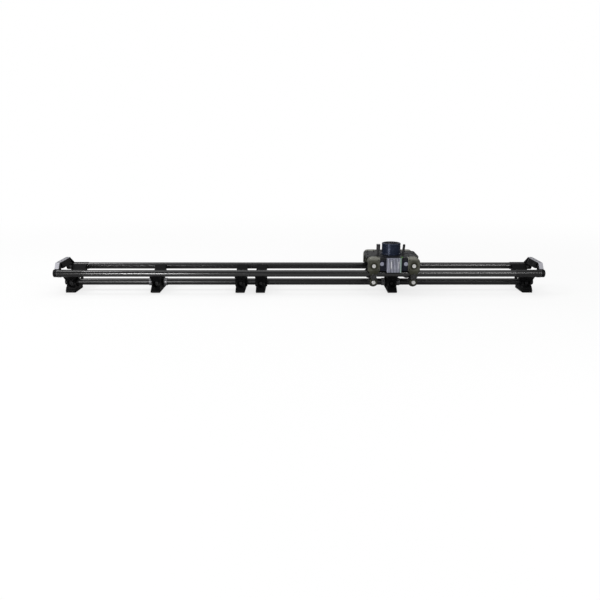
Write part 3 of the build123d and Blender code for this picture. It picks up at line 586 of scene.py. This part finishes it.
# Screws on the carriage. Rows are distances from its middle; "below" is from the top of the deck.
deckScrew = {"radius": 4.2 * mm, "height": 2.0 * mm, "bevel": 0.6 * mm, "socket": 2.1 * mm,
             "truckRow": 70 * mm, "intoTruck": 10 * mm, "pastTruckMiddle": 14 * mm,
             "beforeTruck": 12 * mm, "beamPlate": 10 * mm, "endRow": 22 * mm, "endPastMiddle": 22 * mm}
smallScrew = {"radius": 2.6 * mm, "height": 1.4 * mm, "bevel": 0.4 * mm, "socket": 1.3 * mm}
roofScrews = {"intoTruck": 8 * mm, "rows": (90 * mm, 112 * mm)}
cheekScrews = {"intoTruck": 7 * mm, "below": (9 * mm, 58 * mm)}
beamScrews = ((45 * mm, 22 * mm), (45 * mm, 58 * mm), (66 * mm, 58 * mm))  # from the middle, and below

truckLow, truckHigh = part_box("truck_far_right")
truckIn = truckLow.x - carriageX
truckMid = (truckLow.x + truckHigh.x) / 2 - carriageX
cheekFace = truckHigh.y
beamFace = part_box("side_beam_far")[1].y

deckHead = screwHead(deckScrew)
spots = onCarriage([(truckIn + deckScrew["intoTruck"], deckScrew["truckRow"], deckTop),
                    (truckMid + deckScrew["pastTruckMiddle"], deckScrew["truckRow"], deckTop),
                    (truckIn - deckScrew["beforeTruck"], beamFace - deckScrew["beamPlate"] / 2, deckTop),
                    (truckMid + deckScrew["endPastMiddle"], deckScrew["endRow"], deckTop)], up)
dress(copies(deckHead, "deckScrews", spots), "carriage", "screw_black")
discard(deckHead)

smallHead = screwHead(smallScrew)
spots = onCarriage([(truckIn + roofScrews["intoTruck"], row, deckTop) for row in roofScrews["rows"]], up)
dress(copies(smallHead, "roofScrews", spots), "carriage", "screw_black")
spots = onCarriage([(truckIn + cheekScrews["intoTruck"], cheekFace, deckTop - below)
                    for below in cheekScrews["below"]])
dress(copies(smallHead, "cheekScrews", spots), "carriage", "screw_black")
spots = onCarriage([(x, beamFace, deckTop - below) for x, below in beamScrews])
dress(copies(smallHead, "beamScrews", spots), "carriage", "screw_black")

# A ring of screws in the riser's flange.
flangeScrew = {"radius": 1.9 * mm, "height": 1.2 * mm, "bevel": 0.3 * mm, "socket": 1.0 * mm,
               "ring": 50.6 * mm, "count": 8, "flange": 5 * mm}
flangeHead = screwHead(flangeScrew)
turns = [tau * (count + 0.5) / flangeScrew["count"] for count in range(flangeScrew["count"])]
spots = [((carriageX + flangeScrew["ring"] * cos(turn), flangeScrew["ring"] * sin(turn),
           deckTop + flangeScrew["flange"]), up) for turn in turns]
dress(copies(flangeHead, "flangeScrews", spots), "carriage", "screw_black")
discard(flangeHead)
print("stage: carriage screws")

# Screws along each handle's strap, and one in the lug of each end casting.
strapScrews = {"rows": (-66 * mm, -22 * mm, 22 * mm, 66 * mm), "sunk": 0.1 * mm}
lugScrew = {"inset": 10 * mm, "outFromRail": 6.4 * mm, "height": 88 * mm}
for side, word in zip(sides, ("left", "right")):
    strapLow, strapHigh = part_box(f"{word}_handle_strap")
    strapX = (strapLow.x + strapHigh.x) / 2
    spots = [((strapX, row, strapHigh.z - strapScrews["sunk"]), up) for row in strapScrews["rows"]]
    dress(copies(smallHead, f"strapScrews_{word}", spots), "track", "screw_black")
    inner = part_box(f"{word}_end_casting")[0 if side > 0 else 1].x
    lug = (inner + side * lugScrew["inset"], -railY - lugScrew["outFromRail"], lugScrew["height"])
    dress(copies(smallHead, f"lugScrews_{word}", [(lug, (0, -1, 0))]), "track", "fastener")
discard(smallHead)
print("stage: end screws")

# Washers under the axle bolts.
washer = {"inner": 9.6 * mm, "outer": 12.2 * mm, "thick": 1.1 * mm, "shoulder": 0.7, "bevel": 0.4 * mm}
ring = turned("washer", [(washer["inner"], 0), (washer["outer"], 0),
                         (washer["outer"], washer["thick"] * washer["shoulder"]),
                         (washer["outer"] - washer["bevel"], washer["thick"]),
                         (washer["inner"], washer["thick"]), (washer["inner"], 0)])
axles = [jointPlace(f"spin_{row}_{corner}") for row in ("upper", "lower") for corner in corners]
spots = [((axle.x, outward(axle.y) * cheekFace, axle.z), (0, outward(axle.y), 0)) for axle in axles]
dress(copies(ring, "axleWashers", spots), "carriage", "screw_black")
discard(ring)

# A raised ring round the middle of each star knob.
knobRing = {"inner": 7.1 * mm, "outer": 8.8 * mm, "proud": 0.8 * mm, "bevel": 0.3 * mm, "behindTip": 2 * mm}
ring = turned("knobRing", [(knobRing["inner"], 0), (knobRing["outer"], 0),
                           (knobRing["outer"] - knobRing["bevel"], knobRing["proud"]),
                           (knobRing["inner"], knobRing["proud"]), (knobRing["inner"], 0)])
for corner in corners:
    low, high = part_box(f"star_knob_{corner}")
    way = outward(high.y)
    face = way * (max(abs(low.y), abs(high.y)) - knobRing["behindTip"])
    pivot = jointPlace(f"clamp_turn_{corner}")
    piece = copies(ring, f"knobRing_{corner}", [((pivot.x, face, pivot.z), (0, way, 0))])
    dress(piece, f"star_knob_{corner}", "screw_black")
discard(ring)

# Seams where the two sections of each tube meet.
seam = {"proud": 0.12 * mm, "half": 0.7 * mm, "flat": 0.6}
crest = railRadius + seam["proud"]
ring = turned("seam", [(railRadius, -seam["half"]), (crest, -seam["half"] * seam["flat"]),
                       (crest, seam["half"] * seam["flat"]), (railRadius, seam["half"]),
                       (railRadius - seam["proud"], 0), (railRadius, -seam["half"])], steps=64)
spots = [((seamX, y, z), (1, 0, 0)) for y, z in ((-railY, railZ), (railY, railZ), (0, lowerZ))]
dress(copies(ring, "sectionSeams", spots), "track", "screw_black")
discard(ring)

# Threads in the two stand holes: a three-sided wire wound up with the pitch of the thread.
thread = {"radius": 3.97 * mm, "depth": 0.55 * mm, "pitch": 1.5875 * mm, "turns": 9, "steps": 24,
          "wire": 0.75, "bedded": 0.35, "start": 0.8 * mm}  # wire and bedded are shares of the depth
for word in ("left", "right"):
    choose()
    bpy.ops.mesh.primitive_circle_add(vertices=3, radius=thread["depth"] * thread["wire"], fill_type="NGON",
                                      rotation=(pi / 2, 0, 0))
    coil = bpy.context.active_object
    coil.name = f"standThread_{word}"
    bpy.ops.object.transform_apply(location=False, rotation=True, scale=False)
    edit(coil, "FACE")
    bpy.ops.transform.rotate(value=-pi / 2, orient_axis="Y", center_override=(0, 0, 0))
    bpy.ops.transform.translate(value=(thread["radius"] - thread["depth"] * thread["bedded"], 0, 0))
    bpy.ops.object.mode_set(mode="OBJECT")
    applyModifier(coil, "SCREW", axis="Z", screw_offset=thread["pitch"], iterations=thread["turns"],
                  steps=thread["steps"], render_steps=thread["steps"], use_normal_calculate=True)
    plate = middle(f"{word}_base_plate")
    settle(coil, (plate.x, plate.y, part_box(f"{word}_base_plate")[0].z + thread["start"]))
    smooth(coil)
    dress(coil, "track", "bearing_steel")
print("stage: rings, seams and threads")

# Bubble level: a bezel, a domed vial and its bubble in place of the plain disc.
low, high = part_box("bubble_level")
vial = {"radius": (high.x - low.x) / 2, "height": high.z - low.z, "glass": 6.1 * mm, "gap": 0.02 * mm,
        "floor": 0.2 * mm, "bevel": 0.6 * mm, "lip": 0.2 * mm, "step": 15,  # degrees, up the dome
        "shoulder": 0.6, "rim": 0.78, "seat": 0.66, "crown": 0.98}  # the last four are shares of the height
bubble = {"radius": 2.0 * mm, "hollow": 0.75, "thick": 0.12 * mm, "aside": (0.8 * mm, -0.4 * mm),
          "below": 0.22 * mm}
foot = Vector(((low.x + high.x) / 2, (low.y + high.y) / 2, low.z))
tall = vial["height"]
bezel = turned("levelBezel", [(vial["glass"], 0), (vial["radius"], 0),
                              (vial["radius"], tall * vial["shoulder"]),
                              (vial["radius"] - vial["bevel"], tall * vial["rim"]),
                              (vial["glass"] + vial["lip"], tall * vial["rim"]),
                              (vial["glass"], tall * vial["seat"]), (vial["glass"], 0)])
settle(bezel, foot)
dress(bezel, "carriage", "deck_black", "bubble_level")
glass = vial["glass"] - vial["gap"]
bulge = vial["crown"] - vial["shoulder"]
dome = turned("levelVial", [(0, vial["floor"]), (glass, vial["floor"])]
              + [(glass * cos(radians(rise)), tall * (vial["shoulder"] + bulge * sin(radians(rise))))
                 for rise in range(0, 90, vial["step"])]
              + [(0, tall * vial["crown"])])
settle(dome, foot)
dress(dome, "carriage", "level_green")
hole = bubble["radius"] * bubble["hollow"]
ring = turned("levelBubble", [(hole, 0), (bubble["radius"], 0), (bubble["radius"], bubble["thick"]),
                              (hole, bubble["thick"]), (hole, 0)])
settle(ring, (foot.x + bubble["aside"][0], foot.y + bubble["aside"][1], high.z - bubble["below"]))
dress(ring, "carriage", "deck_black")

# Brake lever: a ribbed rubber sleeve over its grip. Heights are along the lever from its pivot.
lever = {"lean": radians(5.4), "start": 50 * mm, "stop": 79.5 * mm, "cuff": 5.9 * mm, "tip": 4.6 * mm,
         "dome": 0.45 * mm, "radius": 6.2 * mm, "rib": 0.35 * mm, "pitch": 3.0 * mm, "slope": 0.6 * mm,
         "gap": 0.5 * mm}
crest = lever["radius"] + lever["rib"]
sleeve = [(lever["cuff"], lever["start"])]
height = lever["start"] + lever["gap"]
while height < lever["stop"] - lever["pitch"]:
    ending = height + lever["pitch"] - lever["gap"]
    sleeve += [(lever["radius"], height), (crest, height + lever["slope"]), (crest, ending - lever["slope"]),
               (lever["radius"], ending)]
    height += lever["pitch"]
sleeve += [(lever["tip"], lever["stop"]), (0, lever["stop"] + lever["dome"]), (0, lever["start"]), sleeve[0]]
grip = turned("leverSleeve", sleeve, steps=32)
settle(grip, jointPlace("brake_turn"), (sin(lever["lean"]), 0, cos(lever["lean"])))
dress(grip, "brake", "rubber_black")

# Drag knob: a shallow dished disc in its top.
dish = {"radius": 6.0 * mm, "rim": 5.2 * mm, "wall": 0.25 * mm, "height": 0.35 * mm, "hollow": 0.1 * mm,
        "sunk": 0.02 * mm}
disc = turned("dragDisc", [(0, 0), (dish["radius"], 0), (dish["radius"], dish["wall"]),
                           (dish["rim"], dish["height"]), (0, dish["hollow"])], steps=40)
knobPlace = jointPlace("drag_turn")
settle(disc, (knobPlace.x, knobPlace.y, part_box("drag_knob")[1].z - dish["sunk"]))
dress(disc, "drag_screw", "brushed_light")
print("stage: level, lever and drag knob")


# The slider stands high above the ground on its stands, so the floor is pale to the eye but sends
# little light back up to the object.
studio = {"size": 60, "below": 0.02 * mm, "floor": 0.92, "fade": (0.7, 3.4), "wide": 0.6, "lift": 0.76,
          "underneath": 0.12, "sheen": 0.36, "fill": 0.56, "mirrored": 0.12, "white": 1.0}


def seenRays(graph):
    camera, through, glossy = graph.node("LightPath", output=("Is Camera Ray", "Is Transmission Ray",
                                                              "Is Glossy Ray"))
    return camera.most(through), glossy


choose()
bpy.ops.mesh.primitive_plane_add(size=studio["size"], location=(0, 0, cadLow.z - studio["below"]))
floor = bpy.context.active_object
floor.name = "floor"
floor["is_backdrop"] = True
material = bpy.data.materials.new("paleFloor")
material.use_nodes = True
graph = Graph(material.node_tree)
x, y, z = graph.axes()
distance = (x * x * studio["wide"] + y * y) ** 0.5
away = graph.ramp(distance, *studio["fade"])
seen, glossy = seenRays(graph)
paper = graph.node("BsdfDiffuse", {}, {"Color": shade(studio["floor"])})
glow = graph.node("Emission", {}, {"Color": shade(1.0), "Strength": studio["white"]})
pale = graph.node("MixShader", {}, {0: away + (1 - away) * studio["lift"], 1: paper, 2: glow})
dim = graph.node("BsdfDiffuse", {}, {"Color": shade(studio["underneath"])})
sheen = graph.node("BsdfDiffuse", {}, {"Color": shade(studio["sheen"])})
unseen = graph.node("MixShader", {}, {0: glossy, 1: dim, 2: sheen})
surface = graph.node("MixShader", {}, {0: seen, 1: unseen, 2: pale})
graph.node("OutputMaterial", {}, {"Surface": surface})
paint(floor, material)

world = bpy.data.worlds.new("studio")
bpy.context.scene.world = world
world.use_nodes = True
graph = Graph(world.node_tree)
seen, glossy = seenRays(graph)
strength = (studio["fill"] + seen * (studio["white"] - studio["fill"])
            - glossy * (studio["fill"] - studio["mirrored"]))
background = graph.node("Background", {}, {"Color": shade(1.0), "Strength": strength})
graph.node("OutputWorld", {}, {"Surface": background})

softboxes = {  # place, aim, width, height, brightness
    "keyBox": ((-1.5, -3.1, 0.23), (-0.75, 0, 0.1), 0.7, 0.42, 42.0),
    "spotBox": ((-2.5, -0.3, 3.0), (-1.1, 0, 0.1), 0.7, 1.5, 9.0),
    "fillBox": ((1.8, -3.0, 1.6), (0.8, 0, 0.1), 1.3, 0.4, 16.0),
    "topBox": ((0, 0.2, 3.0), (0, 0, 0.1), 4.6, 3.4, 0.6),
    "backBox": ((0.4, 3.0, 1.7), (0, 0, 0.1), 3.0, 0.6, 1.5),
}
for name, (place, aim, width, height, brightness) in softboxes.items():
    lamp = bpy.data.lights.new(name, "AREA")
    lamp.shape = "RECTANGLE"
    lamp.size = width
    lamp.size_y = height
    lamp.energy = brightness * pi * width * height  # so a bigger softbox is as bright to look at
    holder = bpy.data.objects.new(name, lamp)
    bpy.context.scene.collection.objects.link(holder)
    holder.location = place
    holder.rotation_euler = (Vector(aim) - Vector(place)).to_track_quat("-Z", "Y").to_euler()

view = {"place": (0.005, -3.33, 0.81), "pitch": 14.565, "lens": 39.1, "sensor": 36}
camera = bpy.data.objects.new("camera", bpy.data.cameras.new("camera"))
bpy.context.scene.collection.objects.link(camera)
camera.location = view["place"]
camera.rotation_euler = (radians(90 - view["pitch"]), 0, 0)
camera.data.lens = view["lens"]
camera.data.sensor_width = view["sensor"]
bpy.context.scene.camera = camera
bpy.context.scene.view_settings.view_transform = "Standard"
print("stage: studio set")

low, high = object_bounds()
